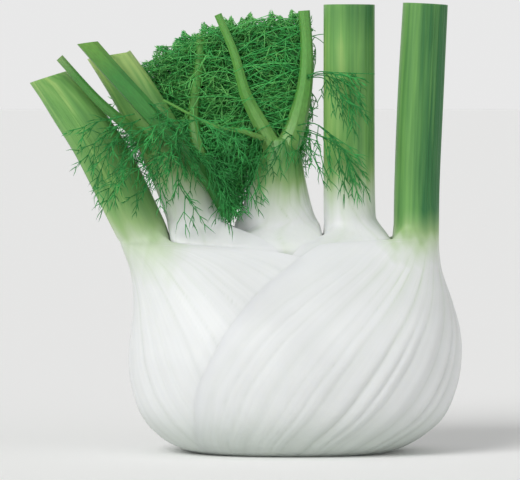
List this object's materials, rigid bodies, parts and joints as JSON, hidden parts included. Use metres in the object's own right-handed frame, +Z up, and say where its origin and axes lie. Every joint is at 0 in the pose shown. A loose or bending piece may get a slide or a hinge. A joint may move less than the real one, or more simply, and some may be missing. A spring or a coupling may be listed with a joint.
{
  "type": "fennel bulb",
  "caption": "Trimmed Florence fennel bulb standing on its cut base, with ribbed overlapping leaf sheaths, cut stalks and feathery fronds.",
  "frame": {"origin": "centre of the flat cut base, on the surface the bulb stands on", "axes": "+Z up through the bulb, +X across the row of stalks towards the outer right leaf, -Y to the front"},
  "size_m": [0.1441, 0.0747, 0.1497],
  "materials": {
    "root_cut": "cut, fibrous, slightly dried",
    "leaf": "waxy, ribbed, white below and green towards the cut stalks",
    "frond": "fine green threads"
  },
  "bodies": {
    "root": {"root_plate": "root_cut", "leaf_outer_right": "leaf", "leaf_outer_left": "leaf", "leaf_centre_right": "leaf", "leaf_middle_left": "leaf", "leaf_middle": "leaf", "frond_middle": "frond", "frond_middle_left": "frond"}
  },
  "joints": []
}
